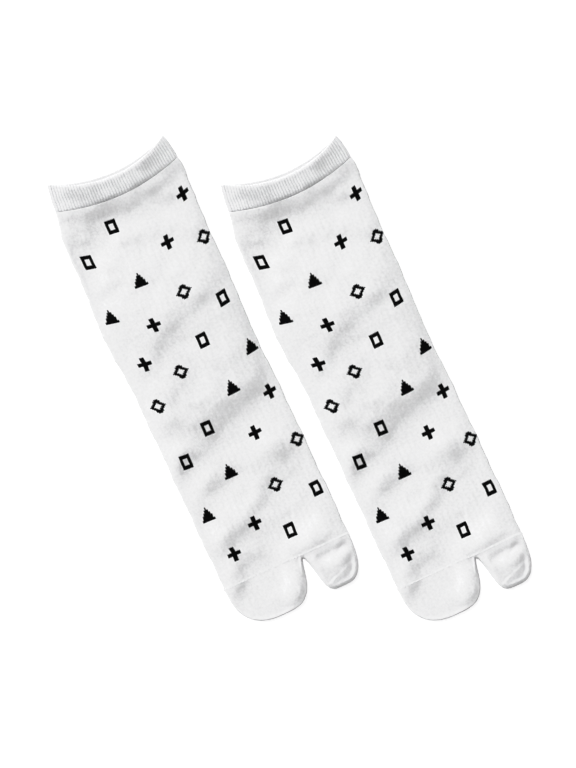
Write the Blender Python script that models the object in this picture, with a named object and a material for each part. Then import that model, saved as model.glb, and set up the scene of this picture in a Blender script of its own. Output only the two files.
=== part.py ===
"""A pair of tabi socks, laid flat side by side with the instep up.

Each sock is knitted cloth in four pieces: a ribbed cuff, one tube for the leg and foot,
a heel pocket that lies folded under the ankle, and a split toe with one pocket for the
big toe and one for the other four toes.  The cuff, the tube and the toe are walls of
cloth round a thin hollow, open at the cuff's mouth.

Sizes are in millimetres and turned into metres as each mesh is made.  In a sock's own
frame X runs across it, Y runs from the toe tips at 0 up to the cuff, and Z is up from
the surface that it lies on.
"""

import math
from collections import namedtuple

import bmesh
import bpy
from mathutils import Vector

MM = 0.001

# ---- The pair -----------------------------------------------------------------------
SOCK_SPACING = 102.5  # between the two socks' centre lines
SOCK_STAGGER = 47.0  # how much nearer to the toes the right sock lies

# ---- The cloth ----------------------------------------------------------------------
SEAM_GAP = 0.3  # between two pieces that are knitted or linked to each other
TUBE_WALL = 1.1
TUBE_FOLD_RADIUS = 1.5  # of the folded side edges, so the tube is 3 mm thick there
TOE_WALL = 1.25
TOE_FOLD_RADIUS = 1.6
CUFF_WALL = 1.7  # the welt is knitted double
CUFF_FOLD_RADIUS = 2.1
LEAST_HOLLOW = 0.4  # kept between the instep and the sole
CROWN = 1.2  # how much the instep stands above the folded side edges
TOE_CROWN = 1.6  # the same over the two toe pockets
BIG_TOE_CROWN, CROWN_CHANGE = 2.3, 6.0  # reached at this distance from the cleft
CUFF_CROWN = 0.7  # and over the cuff
CUFF_STEP = 0.25  # how much the cuff stands above the leg's end at its seam
CUFF_SHOULDER = 0.14  # share of the cuff's length over which it comes to its own height
CUFF_END_THICKENING, CUFF_END_RAMP = 0.45, 12.0  # of the side edges, up to the cuff
DRAWN_IN, DRAWN_IN_REACH, DRAWN_IN_RAMP = 1.0, 75.0, 62.0  # the leg, under the elastic cuff
# Two lengths over which a toe pocket thins towards its tip, and the share of its crown
# that it loses over the shorter one.
Thinning = namedtuple("Thinning", "slope edge edge_share")
FOUR_TOE_THINNING = Thinning(14.0, 6.0, 0.4)
BIG_TOE_THINNING = Thinning(12.0, 2.8, 0.45)
CLEFT_DIP_REACH = 6.0  # round the cleft, where the instep lies low

# ---- Stations along the sock --------------------------------------------------------
TOE_SEAM_Y = 32.0
CLEFT_X, CLEFT_Y = 11.0, 29.0  # the bottom of the split between the toes
CUFF_SEAM_DIP = (3.0, 293.3, 8.0, 45.0)  # lowest point x and y, rise, at this distance
CUFF_RIM_DIP = (5.0, 309.9, 10.2, 43.5)
FRONT_RIM_SETBACK = 2.6  # the lifted front rim stands this far short of the back one
MOUTH_LIFT = 0.5  # of the front rim's middle
RIM_DROOP, RIM_DROOP_FROM = 0.7, 0.8  # how far the rim turns down again, and from where

# ---- Side edges of the leg, foot and cuff, seen from above --------------------------
Section = namedtuple("Section", "y left right")
TUBE_SECTIONS = (
    Section(30, -44.3, 45.0),
    Section(70, -44.5, 45.0),
    Section(130, -44.6, 44.7),
    Section(185, -45.2, 43.8),
    Section(200, -46.9, 44.8),
    Section(215, -47.7, 45.0),
    Section(235, -46.4, 45.4),
    Section(265, -45.4, 45.6),
    Section(284, -44.9, 46.8),
    Section(294, -43.0, 47.3),
    Section(301, -41.4, 46.4),
    Section(310, -40.7, 45.0),
    Section(320, -38.6, 43.4),
)

EDGE_WAVES = ((0.22, 41.0, 0.7), (0.16, 17.3, 2.1), (0.08, 7.9, 4.4))  # height, length, phase

# ---- Toe pockets: where each is widest, at the cleft, and how it closes to its tip --
# A larger roundness makes a squarer corner; lean draws a side in towards the tip.
Pocket = namedtuple(
    "Pocket", "tip_x tip_y left right left_roundness right_roundness left_lean right_lean"
)
FOUR_TOE_POCKET = Pocket(-16.0, 1.0, -44.3, CLEFT_X, 2.45, 3.4, 0.6, 4.5)
BIG_TOE_POCKET = Pocket(29.0, 1.8, CLEFT_X, 45.0, 5.0, 2.7, 5.8, 0.5)
LEAN_POWER = 0.6

# ---- Creases of the instep ----------------------------------------------------------
# A line on the cloth, which stands higher on one side of it and lower on the other.
Crease = namedtuple("Crease", "x1 y1 x2 y2 width height")
UPHILL = (-0.35, 0.94)  # the side that stands higher lies this way
CREASE_REACH = 6.0  # in its own widths, over which a crease fades out on both sides
CREASES = (
    Crease(42, 214, 26, 210, 6.5, 0.3),  # across the front of the ankle
    Crease(18, 208, 4, 204, 10.0, 0.55),
    Crease(-6, 199, -13, 196, 9.0, 0.85),
    Crease(-17, 188, -28, 184, 8.0, 0.45),
    Crease(46, 166, 40, 156, 6.5, 0.5),  # the deep one over the instep
    Crease(33, 142, 10, 139, 12.5, 1.4),
    Crease(-8, 133, -16, 129, 13.0, 1.15),
    Crease(8, 131, -8, 126, 7.0, 0.5),
    Crease(-10, 121, -19, 118, 7.0, 0.5),
    Crease(-32, 118, -39, 114, 9.0, 1.7),
    Crease(-22, 156, -36, 151, 7.0, 0.35),
    Crease(-8, 99, -19, 97, 9.0, 0.95),
    Crease(-27, 93, -38, 90, 9.0, 0.6),
    Crease(36, 97, 24, 97, 10.0, 1.0),
    Crease(26, 88, 16, 85, 8.0, 0.6),
    Crease(9, 79, 3, 75, 8.0, 0.55),
    Crease(-2, 70, -10, 67, 6.5, 0.35),
    Crease(-18, 62, -29, 59, 11.0, 1.5),
    Crease(20, 62, 2, 57, 9.0, 0.3),
    Crease(-15, 47, -28, 46, 8.0, 0.5),
    Crease(-14, 40, -26, 39, 7.0, 0.9),
    Crease(-16, 33, -32, 33, 9.0, 0.6),
    Crease(-27, 22, -36, 21, 5.5, 1.1),
    Crease(-9, 8, 2, 36, 12.0, -0.6),
    Crease(2, 40, 22, 50, 10.0, -0.35),
    Crease(38, 17, 22, 16, 8.0, 0.5),
    Crease(-31, 291, -20, 288, 11.0, 0.95),  # the leg slopes down from the lifted cuff
    Crease(-15, 290, -6, 289, 10.0, 0.8),
    Crease(9, 291, 15, 289, 7.0, 0.5),
    Crease(23, 288, 30, 289, 7.0, 0.5),
    Crease(-24, 279, -15, 277, 6.0, 0.4),
    Crease(2, 281, 9, 284, 6.0, 0.5),
    Crease(-42, 276, -34, 273, 8.0, 1.9),
    Crease(22, 281, 30, 279, 8.0, 0.9),
    Crease(-30, 308, -20, 303, 7.0, 0.7),  # across the cuff
    Crease(42, 309, 24, 304, 7.0, 0.8),
    Crease(-32, 255, -20, 251, 7.0, 0.4),
    Crease(23, 256, 36, 251, 7.0, 0.4),
    Crease(-10, 266, 10, 262, 8.0, 0.45),
    Crease(-26, 242, -8, 238, 7.0, 0.3),
)

# ---- Heel pocket, folded flat under the ankle ---------------------------------------
HEEL_ROOT_Y, HEEL_FREE_Y = 190.0, 224.0
HEEL_HALF_WIDTH = 27.0  # at its root
HEEL_TAPER, HEEL_ROUNDNESS = 8.0, 2.2  # drawn in by this much each side at its free edge
HEEL_THICKNESS = 2.0  # two layers of cloth
HEEL_EDGE = ((0.9, 0.25), (0.35, 0.5), (0.9, 0.75))  # out, and share of the way up: two rolls
HEEL_EDGE_THIN = 0.6  # off the top and the bottom of its free edge
HEEL_RAMP = 9.0  # length over which the sole climbs onto the pocket
HEEL_ROOM = 3.5  # how far the lifted sole reaches past the pocket's sides
HEEL_SIDE_RAMP = 12.0  # width over which it comes down again beside them
HEEL_END_ROOM = 4.5  # how far the lifted sole reaches past the pocket's free edge
HEEL_SWELL = 1.7  # how much the instep rises over it
HEEL_SWELL_FOOT, HEEL_SWELL_LEG = (125.0, 72.0), (292.0, 66.0)  # end and length of each ramp

# ---- Ribs of the cuff ---------------------------------------------------------------
RIB_DEPTH = 0.35
RIBS_ACROSS = 45  # on each face of the flat cuff
RIBS_ROUND_EDGE = 3.5  # round each folded side edge

# ---- Fineness of the meshes ---------------------------------------------------------
TUBE_ROWS = 40
TUBE_COLUMNS = (18, 4, 10)  # across the top, round a side edge, across the underside
HEEL_ROWS, HEEL_COLUMNS = 8, 8
TOE_ROWS = 11
TOE_INNER_ROWS = 8
FOUR_TOE_COLUMNS = (10, 4, 6)
BIG_TOE_COLUMNS = (8, 4, 5)
CUFF_COLUMNS = (2 * RIBS_ACROSS, int(2 * RIBS_ROUND_EDGE), 2 * RIBS_ACROSS)
CUFF_INNER_COLUMNS = (18, 2, 18)
# The cuff's rows, from its seam to its rim: outside and inside.
CUFF_SHARES = (0.0, CUFF_SHOULDER, 0.45, RIM_DROOP_FROM, 1.0)
CUFF_INNER_SHARES = (0.0, CUFF_SHOULDER, RIM_DROOP_FROM, 1.0)
RIM_ROLL, INNER_ROLL = 0.45, 0.225  # how far the rim rounds in at its last row, and out inside
SHARP_ANGLE = 50.0  # degrees between faces, above which an edge is shaded sharp

# ---- Colours: red, green, blue ------------------------------------------------------
WHITE_KNIT = (0.90, 0.90, 0.91)
CUFF_KNIT = (0.83, 0.83, 0.845)
TOE_KNIT = (0.91, 0.91, 0.915)
KNIT_ROUGHNESS = 0.9


# ---- Small mathematics --------------------------------------------------------------
def smooth_step(share):
    """0 to 1 with level ends."""
    share = min(1.0, max(0.0, share))
    return share * share * (3 - 2 * share)


def smooth_between(rows, y, column):
    """The named column of a table at y, on a smooth curve through its rows."""
    last = len(rows) - 1
    upper = next((i for i, row in enumerate(rows) if row.y >= y), last)
    i = max(1, upper)
    before, low, high, after = rows[max(0, i - 2)], rows[i - 1], rows[i], rows[min(last, i + 1)]
    span = high.y - low.y
    t = min(1.0, max(0.0, (y - low.y) / span))
    a, b = getattr(low, column), getattr(high, column)
    slope_a = (b - getattr(before, column)) / (high.y - before.y) * span
    slope_b = (getattr(after, column) - a) / (after.y - low.y) * span
    return (
        a * (1 + 2 * t) * (1 - t) ** 2
        + slope_a * t * (1 - t) ** 2
        + b * t * t * (3 - 2 * t)
        + slope_b * t * t * (t - 1)
    )


def tube_edges(y):
    """Left and right side edges, which are a little uneven."""
    wave_left = sum(h * math.sin(2 * math.pi * y / length + p) for h, length, p in EDGE_WAVES)
    wave_right = sum(h * math.sin(2 * math.pi * y / length - 2 * p) for h, length, p in EDGE_WAVES)
    left = smooth_between(TUBE_SECTIONS, y, "left") + wave_left
    return left, smooth_between(TUBE_SECTIONS, y, "right") + wave_right


def dipped(curve, x):
    """Height of a seam or rim that sags in its middle."""
    lowest_x, lowest_y, rise, reach = curve
    return lowest_y + rise * ((x - lowest_x) / reach) ** 2


def crease_height(x, y):
    """Sum of the creases at a point of the instep."""
    total = 0.0
    for crease in CREASES:
        run_x, run_y = crease.x2 - crease.x1, crease.y2 - crease.y1
        length = math.hypot(run_x, run_y)
        run_x, run_y = run_x / length, run_y / length
        side = math.copysign(1.0, run_x * UPHILL[1] - run_y * UPHILL[0])
        along = (x - crease.x1) * run_x + (y - crease.y1) * run_y
        beyond = max(-along, along - length, 0.0) / crease.width
        t = side * ((y - crease.y1) * run_x - (x - crease.x1) * run_y) / crease.width
        fade = math.exp(-((t / CREASE_REACH) ** 2) - beyond**2)
        total += crease.height * 2 * t / (1 + t * t) * fade
    return total


def no_less_than(height, least, softness=0.35):
    """The greater of two heights, with a soft change from one to the other."""
    return least + softness * math.log1p(math.exp((height - least) / softness))


def sole_lift(x, y):
    """How far the sole is lifted off the surface by the heel pocket under it."""
    up = smooth_step((y - HEEL_ROOT_Y + HEEL_RAMP / 2) / HEEL_RAMP)
    down = smooth_step((HEEL_FREE_Y + HEEL_END_ROOM + HEEL_RAMP - y) / HEEL_RAMP)
    aside = smooth_step((HEEL_HALF_WIDTH + HEEL_ROOM + HEEL_SIDE_RAMP - abs(x)) / HEEL_SIDE_RAMP)
    return (HEEL_THICKNESS + SEAM_GAP) * up * down * aside


def sole_lift_between_rows(x, y):
    """The same, on the flat faces between the leg and foot's rows."""
    low = TOE_SEAM_Y + SEAM_GAP / 2
    length = dipped(CUFF_SEAM_DIP, x) - SEAM_GAP / 2 - low
    number = (y - low) / length * (TUBE_ROWS - 1)
    before = math.floor(number)
    y_before, y_after = (low + length * n / (TUBE_ROWS - 1) for n in (before, before + 1))
    share = number - before
    return sole_lift(x, y_before) * (1 - share) + sole_lift(x, y_after) * share


def instep_loft(x, y, across):
    """How far the instep stands above the folded side edges; across runs from -1 to 1."""
    foot_end, foot_ramp = HEEL_SWELL_FOOT
    leg_end, leg_ramp = HEEL_SWELL_LEG
    swell = smooth_step((y - foot_end) / foot_ramp) * smooth_step((leg_end - y) / leg_ramp)
    from_cleft = math.hypot(x - CLEFT_X, y - CLEFT_Y)
    at_cleft = math.exp(-((from_cleft / CLEFT_DIP_REACH) ** 2))
    below_cuff = dipped(CUFF_SEAM_DIP, x) - y
    drawn_in = DRAWN_IN * smooth_step((DRAWN_IN_REACH - below_cuff) / DRAWN_IN_RAMP)
    form = CROWN * (1 - at_cleft) + HEEL_SWELL * swell - drawn_in
    return (1 - across**4) * form + (1 - across**8) * crease_height(x, y)


def cuff_top(x, y, across, share_up):
    """Height of the cuff's upper face, which rises from the leg's end to its own crown."""
    flat = 1 - across**2
    at_leg = 2 * (TUBE_FOLD_RADIUS + CUFF_END_THICKENING) + CUFF_STEP
    at_leg += (1 - across**4) * (CROWN - DRAWN_IN)
    own = 2 * CUFF_FOLD_RADIUS + flat * CUFF_CROWN
    droop = RIM_DROOP * smooth_step((share_up - RIM_DROOP_FROM) / (1 - RIM_DROOP_FROM))
    mouth = flat**2 * (MOUTH_LIFT * share_up - droop)
    folds = (1 - across**8) * crease_height(x, y)
    top = at_leg + (own - at_leg) * smooth_step(share_up / CUFF_SHOULDER) + mouth + folds
    return no_less_than(top, 2 * CUFF_WALL + LEAST_HOLLOW, softness=0.2)


# ---- Rings of a flat tube -----------------------------------------------------------
def columns(across_top, round_edge, across_under):
    """The points round a flat tube, clockwise from the top's left end.

    Each is (share, angle): share runs from -1 to 1 across the flat, and the angle is 90
    degrees on the top, -90 underneath, and turns between them at the two side edges.
    """
    top = [(2 * i / across_top - 1, 90.0) for i in range(across_top + 1)]
    right = [(1.0, 90.0 - 180.0 * i / round_edge) for i in range(1, round_edge)]
    under = [(1 - 2 * i / across_under, -90.0) for i in range(across_under + 1)]
    left = [(-1.0, -90.0 - 180.0 * i / round_edge) for i in range(1, round_edge)]
    return top + right + under + left


def tube_ring(around, row_y, share_along, inset):
    """A ring of the leg and foot, whose row_y gives y from x."""
    points = []
    length = dipped(CUFF_SEAM_DIP, 0.0) - TOE_SEAM_Y
    near_cuff = 1 - (1 - share_along) * length / CUFF_END_RAMP
    radius = TUBE_FOLD_RADIUS + CUFF_END_THICKENING * smooth_step(near_cuff)
    for share, angle in around:
        y = row_y(0.0)
        for _ in range(3):  # x depends a little on y, and y on x
            left, right = tube_edges(y)
            half = radius - inset
            x = (left + right) / 2 + share * ((right - left) / 2 - radius)
            x += half * math.cos(math.radians(angle))
            y = row_y(x)
        z = radius + half * math.sin(math.radians(angle))
        if angle == 90.0:
            top = 2 * radius + instep_loft(x, y, share)
            lowest = sole_lift(x, y) + 2 * TUBE_WALL + LEAST_HOLLOW
            z = no_less_than(top, lowest) - inset
        elif angle == -90.0:
            z = inset + sole_lift(x, y)
        points.append((x, y, z))
    return points


def cuff_ring(share_up, inset, around, ribbed):
    """A ring of the cuff, at a share of the way from its seam to its rim."""
    points = []
    radius = CUFF_FOLD_RADIUS
    roll = (RIM_ROLL if ribbed else -INNER_ROLL) if share_up == 1.0 else 0.0
    for number, (share, angle) in enumerate(around):
        sine, cosine = math.sin(math.radians(angle)), math.cos(math.radians(angle))
        valley = RIB_DEPTH if ribbed and number % 2 else 0.0
        half = radius - inset - valley - roll
        setback = FRONT_RIM_SETBACK * share_up**2 * (1 - share**4) if angle == 90.0 else 0.0
        x, y = 0.0, TUBE_SECTIONS[-2].y
        for _ in range(3):
            left, right = tube_edges(y)
            x = (left + right) / 2 + share * ((right - left) / 2 - radius) + half * cosine
            low = dipped(CUFF_SEAM_DIP, x) + SEAM_GAP / 2
            y = low + share_up * (dipped(CUFF_RIM_DIP, x) - setback - low)
        z = radius + half * sine
        if angle == 90.0:
            z = cuff_top(x, y, share, share_up) - radius + half
        points.append((x, y, z))
    return points


# ---- Toe pockets --------------------------------------------------------------------
def pocket_edges(pocket, y, inset):
    """Left and right edges of a toe pocket at y, drawn in by inset all round."""
    root_y = CLEFT_Y + inset
    t = min(1.0, max(0.0, (root_y - y) / (root_y - pocket.tip_y - inset)))
    edges = []
    for side, reach, roundness, lean in (
        (-1, pocket.tip_x - pocket.left, pocket.left_roundness, pocket.left_lean),
        (1, pocket.right - pocket.tip_x, pocket.right_roundness, pocket.right_lean),
    ):
        width = reach - inset - lean * t**LEAN_POWER
        edges.append(pocket.tip_x + side * width * (1 - t**roundness) ** (1 / roundness))
    return edges


def toe_crown(x):
    """The big toe's pocket is the fuller one."""
    return TOE_CROWN + (BIG_TOE_CROWN - TOE_CROWN) * smooth_step((x - CLEFT_X) / CROWN_CHANGE)


def pocket_point(pocket, y, inset, share, angle):
    """A point of a pocket's closed ring, whose height dies away at its tip."""
    left, right = pocket_edges(pocket, y, inset)
    radius = TOE_FOLD_RADIUS - inset
    from_tip = y - pocket.tip_y - inset
    short = radius - min(radius, from_tip)
    half = math.sqrt(radius**2 - short**2)
    x = (left + right) / 2 + share * max(0.0, (right - left) / 2 - half)
    x += half * math.cos(math.radians(angle))
    z = TOE_FOLD_RADIUS + half * math.sin(math.radians(angle))
    if angle == 90.0:
        thinning = BIG_TOE_THINNING if pocket is BIG_TOE_POCKET else FOUR_TOE_THINNING
        fade = (1 - thinning.edge_share) * smooth_step(from_tip / thinning.slope)
        fade += thinning.edge_share * smooth_step(from_tip / thinning.edge)
        z += fade * (1 - share**4) * no_less_than(toe_crown(x) + crease_height(x, y), 0.0)
    return x, y, z


def root_point(pocket, y, inset, share, angle, at_seam):
    """A point where the two pockets are still one tube, at the seam or the cleft."""
    half = TOE_FOLD_RADIUS - inset
    outer_left, outer_right = tube_edges(y)
    left = CLEFT_X if pocket is BIG_TOE_POCKET else outer_left + TOE_FOLD_RADIUS
    right = CLEFT_X if pocket is FOUR_TOE_POCKET else outer_right - TOE_FOLD_RADIUS
    x = (left + right) / 2 + share * (right - left) / 2
    x += half * math.cos(math.radians(angle))
    z = TOE_FOLD_RADIUS + half * math.sin(math.radians(angle))
    if angle == 90.0 and at_seam:
        middle, reach = (outer_left + outer_right) / 2, (outer_right - outer_left) / 2
        z += instep_loft(x, y, (x - middle) / (reach - TOE_FOLD_RADIUS))
        z = no_less_than(z + inset, 2 * TOE_WALL + LEAST_HOLLOW) - inset
    elif angle == 90.0:
        z += (1 - share**4) * no_less_than(toe_crown(x) + crease_height(x, y), 0.0)
    return x, y, z


# ---- Building meshes ----------------------------------------------------------------
def add_points(bm, points):
    return [bm.verts.new(Vector(point) * MM) for point in points]


def join_rings(bm, first, second, closed=True):
    """Faces between two rings, or two open rows, that may have unlike numbers of points."""
    steps_a = len(first) - (0 if closed else 1)
    steps_b = len(second) - (0 if closed else 1)
    a = b = 0
    while a < steps_a or b < steps_b:
        here_a, here_b = first[a % len(first)], second[b % len(second)]
        next_a, next_b = first[(a + 1) % len(first)], second[(b + 1) % len(second)]
        share_a, share_b = (a + 1) / steps_a, (b + 1) / steps_b
        if abs(share_a - share_b) < 1e-9:
            bm.faces.new((here_a, next_a, next_b, here_b))
            a += 1
            b += 1
        elif share_a < share_b:
            bm.faces.new((here_a, next_a, here_b))
            a += 1
        else:
            bm.faces.new((here_a, next_b, here_b))
            b += 1


def join_all(bm, rings):
    for first, second in zip(rings, rings[1:]):
        join_rings(bm, first, second)


def close_tip(bm, ring, tip):
    apex = bm.verts.new(Vector(tip) * MM)
    for here, following in zip(ring, ring[1:] + ring[:1]):
        bm.faces.new((here, following, apex))


def finish_object(bm, name, material, empty, collection):
    """Turns a bmesh into a smooth-shaded object that hangs under its sock's empty."""
    bmesh.ops.recalc_face_normals(bm, faces=bm.faces)
    bmesh.ops.triangulate(bm, faces=[face for face in bm.faces if len(face.verts) > 3])
    mesh = bpy.data.meshes.new(name)
    bm.to_mesh(mesh)
    bm.free()
    mesh.shade_smooth()
    mesh.set_sharp_from_angle(angle=math.radians(SHARP_ANGLE))
    mesh.materials.append(material)
    piece = bpy.data.objects.new(name, mesh)
    piece.parent = empty
    collection.objects.link(piece)
    return piece


def knit_material(name, colour):
    material = bpy.data.materials.new(name)
    material.use_nodes = True
    shader = material.node_tree.nodes["Principled BSDF"]
    shader.inputs["Base Color"].default_value = (*colour, 1.0)
    shader.inputs["Roughness"].default_value = KNIT_ROUGHNESS
    shader.inputs["Metallic"].default_value = 0.0
    return material


# ---- The four pieces of a sock ------------------------------------------------------
def tube_rows(count):
    """Each row's share along the tube, and the function of x that gives its y."""
    low = TOE_SEAM_Y + SEAM_GAP / 2

    def row(share):
        return share, lambda x: low + share * (dipped(CUFF_SEAM_DIP, x) - SEAM_GAP / 2 - low)

    return [row(i / (count - 1)) for i in range(count)]


def leg_and_foot():
    """The plain tube from the toe seam to the cuff: an outer skin and an inner one."""
    bm = bmesh.new()
    around = columns(*TUBE_COLUMNS)
    skins = []
    for inset in (0.0, TUBE_WALL):
        rings = [tube_ring(around, row, share, inset) for share, row in tube_rows(TUBE_ROWS)]
        skins.append([add_points(bm, ring) for ring in rings])
        join_all(bm, skins[-1])
    outer, inner = skins
    join_rings(bm, outer[0], inner[0])
    join_rings(bm, outer[-1], inner[-1])
    return bm


def cuff():
    """The double-knitted welt, ribbed outside and plain inside."""
    bm = bmesh.new()
    around, inner_around = columns(*CUFF_COLUMNS), columns(*CUFF_INNER_COLUMNS)
    outer = [add_points(bm, cuff_ring(s, 0.0, around, True)) for s in CUFF_SHARES]
    inner = [
        add_points(bm, cuff_ring(s, CUFF_WALL, inner_around, False)) for s in CUFF_INNER_SHARES
    ]
    join_all(bm, outer)
    join_all(bm, inner)
    join_rings(bm, outer[0], inner[0])
    join_rings(bm, outer[-1], inner[-1])
    return bm


def pocket_rows(pocket, count, inset):
    """y of each closed ring of a pocket, closer together towards its tip."""
    root_y, tip_y = CLEFT_Y + inset, pocket.tip_y + inset
    return [root_y - (root_y - tip_y) * math.sin(math.pi / 2 * i / count) for i in range(1, count)]


def open_columns(pocket, counts):
    """A pocket's columns where it is still open to the other: all but the cleft's side."""
    around = columns(*counts)
    across_top, round_edge, across_under = counts
    right = range(across_top + 1, across_top + round_edge)
    if pocket is FOUR_TOE_POCKET:  # from the cleft's foot, round the left edge, to its top
        start = across_top + round_edge
        order = list(range(start, len(around))) + list(range(across_top + 1))
        return [around[i] for i in order], [around[i] for i in right]
    order = range(across_top + round_edge + across_under + 1)
    left = range(order[-1] + 1, len(around))
    return [around[i] for i in order], [around[i] for i in left]


def toe_skin(bm, rows, inset):
    """One skin of the split toe; returns its ring at the toe seam."""
    seam_y = TOE_SEAM_Y - SEAM_GAP / 2
    cleft_y = CLEFT_Y + inset
    pockets = ((FOUR_TOE_POCKET, FOUR_TOE_COLUMNS), (BIG_TOE_POCKET, BIG_TOE_COLUMNS))
    halves = []
    for pocket, counts in pockets:
        shared, _ = open_columns(pocket, counts)
        seam = [root_point(pocket, seam_y, inset, *column, True) for column in shared]
        fork = [root_point(pocket, cleft_y, inset, *column, False) for column in shared]
        halves.append([add_points(bm, seam), add_points(bm, fork)])
    # The right half takes the left half's points where the two meet at the cleft.
    for left_row, right_row in zip(*halves):
        for ours, theirs in ((0, -1), (-1, 0)):
            bm.verts.remove(right_row[ours])
            right_row[ours] = left_row[theirs]
    for seam, fork in halves:
        join_rings(bm, seam, fork, closed=False)
    cleft_line = add_points(bm, cleft_points(inset))
    for (pocket, counts), (_, fork) in zip(pockets, halves):
        shared, cleft_side = open_columns(pocket, counts)
        line = cleft_line if pocket is FOUR_TOE_POCKET else cleft_line[::-1]
        rings = [fork + line]
        for y in pocket_rows(pocket, rows, inset):
            ring = [pocket_point(pocket, y, inset, *c) for c in shared + cleft_side]
            rings.append(add_points(bm, ring))
        join_all(bm, rings)
        close_tip(bm, rings[-1], (pocket.tip_x, pocket.tip_y + inset, TOE_FOLD_RADIUS))
    return halves[0][0] + halves[1][0][1:-1]


def cleft_points(inset):
    """The upright line at the bottom of the split, from the top down, without its ends."""
    half = TOE_FOLD_RADIUS - inset
    steps = FOUR_TOE_COLUMNS[1]
    return [
        (CLEFT_X, CLEFT_Y + inset, TOE_FOLD_RADIUS + half * math.cos(math.pi * i / steps))
        for i in range(1, steps)
    ]


def toes():
    """The split toe: two pockets that grow out of one short tube."""
    bm = bmesh.new()
    outer_seam = toe_skin(bm, TOE_ROWS, 0.0)
    inner_seam = toe_skin(bm, TOE_INNER_ROWS, TOE_WALL)
    join_rings(bm, outer_seam, inner_seam)
    return bm


def heel_top(x, y):
    """The folded heel pocket fills the room under the sole, up to its two layers."""
    return min(HEEL_THICKNESS, sole_lift_between_rows(x, y) - SEAM_GAP)


def heel():
    """The heel pocket, folded flat: one solid whose rounded edge shows its two layers."""
    bm = bmesh.new()
    shares = [2 * i / HEEL_COLUMNS - 1 for i in range(HEEL_COLUMNS + 1)]
    rings = []
    for number in range(HEEL_ROWS + 1):
        along = number / HEEL_ROWS
        y = HEEL_ROOT_Y + along * (HEEL_FREE_Y - HEEL_ROOT_Y)
        half = HEEL_HALF_WIDTH - HEEL_TAPER * along**HEEL_ROUNDNESS
        thin = HEEL_EDGE_THIN if number == HEEL_ROWS else 0.0
        tops = [heel_top(share * half, y) - thin for share in shares]
        ring = [(share * half, y, top) for share, top in zip(shares, tops)]
        ring += [(half + out, y, thin + (tops[-1] - thin) * up) for out, up in HEEL_EDGE[::-1]]
        ring += [(-share * half, y, thin) for share in shares]
        ring += [(-half - out, y, thin + (tops[0] - thin) * up) for out, up in HEEL_EDGE]
        rings.append(add_points(bm, ring))
    join_all(bm, rings)
    bm.faces.new(rings[0])
    bm.faces.new(rings[-1])
    return bm


# ---- The pair -----------------------------------------------------------------------
def clear_scene():
    for item in list(bpy.data.objects):
        bpy.data.objects.remove(item, do_unlink=True)


def sock(side, empty, collection, materials):
    """One sock's four pieces, under the empty that places it."""
    makers = (
        ("cuff", cuff, "cuff_knit"),
        ("leg_and_foot", leg_and_foot, "leg_knit"),
        ("heel", heel, "heel_knit"),
        ("toes", toes, "toe_knit"),
    )
    pieces = []
    for name, make, slot in makers:
        pieces.append(finish_object(make(), f"{side}_{name}", materials[slot], empty, collection))
    return pieces


def centre_on_origin(pieces, root):
    """Moves the pair so that the middle of its footprint is at the origin."""
    bpy.context.view_layer.update()
    corners = [piece.matrix_world @ Vector(corner) for piece in pieces for corner in piece.bound_box]
    for axis in (0, 1):
        values = [corner[axis] for corner in corners]
        root.location[axis] = -(min(values) + max(values)) / 2


def build_pair():
    clear_scene()
    collection = bpy.data.collections.new("pair_of_tabi_socks")
    bpy.context.scene.collection.children.link(collection)
    materials = {
        "cuff_knit": knit_material("cuff_knit", CUFF_KNIT),
        "leg_knit": knit_material("leg_knit", WHITE_KNIT),
        "heel_knit": knit_material("heel_knit", TOE_KNIT),
        "toe_knit": knit_material("toe_knit", TOE_KNIT),
    }
    root = bpy.data.objects.new("pair", None)
    collection.objects.link(root)
    pieces = []
    for side, sign in (("left", -1), ("right", 1)):
        empty = bpy.data.objects.new(f"{side}_sock", None)
        collection.objects.link(empty)
        empty.parent = root
        empty.location = (sign * SOCK_SPACING / 2 * MM, -sign * SOCK_STAGGER / 2 * MM, 0.0)
        pieces += sock(side, empty, collection, materials)
    centre_on_origin(pieces, root)


build_pair()
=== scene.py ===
"""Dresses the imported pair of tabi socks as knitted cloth, laid flat on a pale surface.

Sizes are in millimetres, as in the part's source, and become metres as each mesh is made.
In a sock's own frame X runs across it, Y runs from the toe tips at 0 up to the cuff, and
Z is up from the surface that it lies on.  Each knitted piece carries a map, "stitches",
that counts its wales (stitches round the sock) and its courses (rows along it).
"""

import math
from collections import namedtuple

import bmesh
import bpy
import numpy as np
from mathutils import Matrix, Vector


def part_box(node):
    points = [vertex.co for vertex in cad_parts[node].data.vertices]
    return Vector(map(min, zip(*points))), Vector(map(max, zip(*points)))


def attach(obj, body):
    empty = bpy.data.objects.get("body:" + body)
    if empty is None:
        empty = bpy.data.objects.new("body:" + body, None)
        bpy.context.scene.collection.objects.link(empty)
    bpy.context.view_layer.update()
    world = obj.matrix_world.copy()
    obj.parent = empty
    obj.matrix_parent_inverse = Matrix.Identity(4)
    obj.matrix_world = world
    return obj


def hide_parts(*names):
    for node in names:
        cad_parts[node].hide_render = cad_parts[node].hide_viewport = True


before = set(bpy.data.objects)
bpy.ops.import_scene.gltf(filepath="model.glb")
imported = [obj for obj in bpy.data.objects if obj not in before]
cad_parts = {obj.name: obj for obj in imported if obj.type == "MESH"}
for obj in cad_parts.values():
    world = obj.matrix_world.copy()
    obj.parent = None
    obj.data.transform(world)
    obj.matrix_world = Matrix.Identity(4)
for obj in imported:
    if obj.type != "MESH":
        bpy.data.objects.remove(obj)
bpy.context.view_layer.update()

MM = 0.001
SIDES = ("left", "right")

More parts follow.
